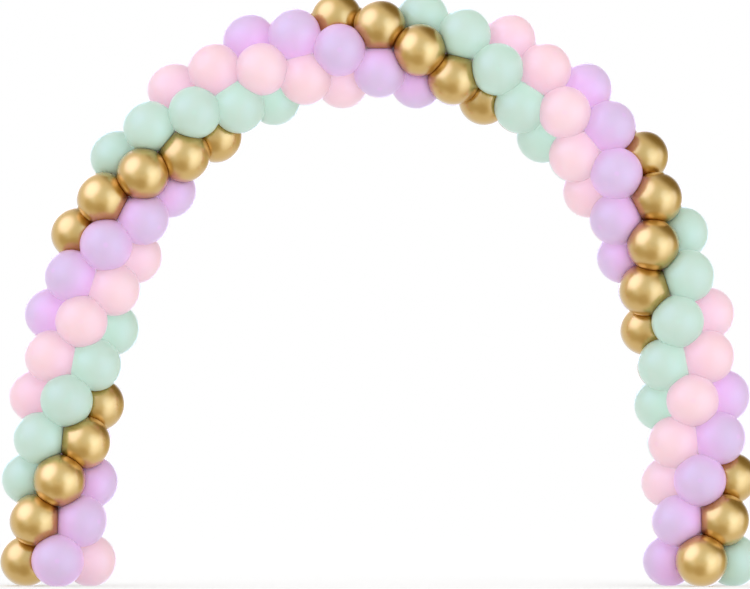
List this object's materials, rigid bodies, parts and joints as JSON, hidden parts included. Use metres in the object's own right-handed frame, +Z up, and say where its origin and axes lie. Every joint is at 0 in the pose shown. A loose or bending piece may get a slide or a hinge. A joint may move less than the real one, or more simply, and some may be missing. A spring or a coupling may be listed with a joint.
{
  "type": "balloon garland arch",
  "caption": "Free-standing arch of round balloons in clusters of mint, pink, lilac and chrome gold, each colour winding round the arch as a spiral strand.",
  "frame": {"origin": "on the floor, midway between the two feet and midway through the depth", "axes": "+X across the opening towards the right foot as seen from the front, +Y from the front to the back, +Z up"},
  "size_m": [3.308, 0.508, 2.5849],
  "materials": {
    "mint": "satin pastel latex",
    "pink": "satin pastel latex",
    "lilac": "satin pastel latex",
    "gold": "chrome gold latex"
  },
  "bodies": {
    "root": {"gold_balloons_01": "gold", "gold_balloons_02": "gold", "gold_balloons_03": "gold", "gold_balloons_04": "gold", "gold_balloons_05": "gold", "gold_balloons_06": "gold", "gold_balloons_07": "gold", "gold_balloons_08": "gold", "gold_balloons_09": "gold", "gold_balloons_10": "gold", "gold_balloons_11": "gold", "gold_balloons_12": "gold", "gold_balloons_13": "gold", "gold_balloons_14": "gold", "gold_balloons_15": "gold", "lilac_balloons_01": "lilac", "lilac_balloons_02": "lilac", "lilac_balloons_03": "lilac", "lilac_balloons_04": "lilac", "lilac_balloons_05": "lilac", "lilac_balloons_06": "lilac", "lilac_balloons_07": "lilac", "lilac_balloons_08": "lilac", "lilac_balloons_09": "lilac", "lilac_balloons_10": "lilac", "lilac_balloons_11": "lilac", "lilac_balloons_12": "lilac", "lilac_balloons_13": "lilac", "lilac_balloons_14": "lilac", "lilac_balloons_15": "lilac", "pink_balloons_01": "pink", "pink_balloons_02": "pink", "pink_balloons_03": "pink", "pink_balloons_04": "pink", "pink_balloons_05": "pink", "pink_balloons_06": "pink", "pink_balloons_07": "pink", "pink_balloons_08": "pink", "pink_balloons_09": "pink", "pink_balloons_10": "pink", "pink_balloons_11": "pink", "pink_balloons_12": "pink", "pink_balloons_13": "pink", "pink_balloons_14": "pink", "pink_balloons_15": "pink", "mint_balloons_01": "mint", "mint_balloons_02": "mint", "mint_balloons_03": "mint", "mint_balloons_04": "mint", "mint_balloons_05": "mint", "mint_balloons_06": "mint", "mint_balloons_07": "mint", "mint_balloons_08": "mint", "mint_balloons_09": "mint", "mint_balloons_10": "mint", "mint_balloons_11": "mint", "mint_balloons_12": "mint", "mint_balloons_13": "mint", "mint_balloons_14": "mint", "mint_balloons_15": "mint"}
  },
  "joints": []
}
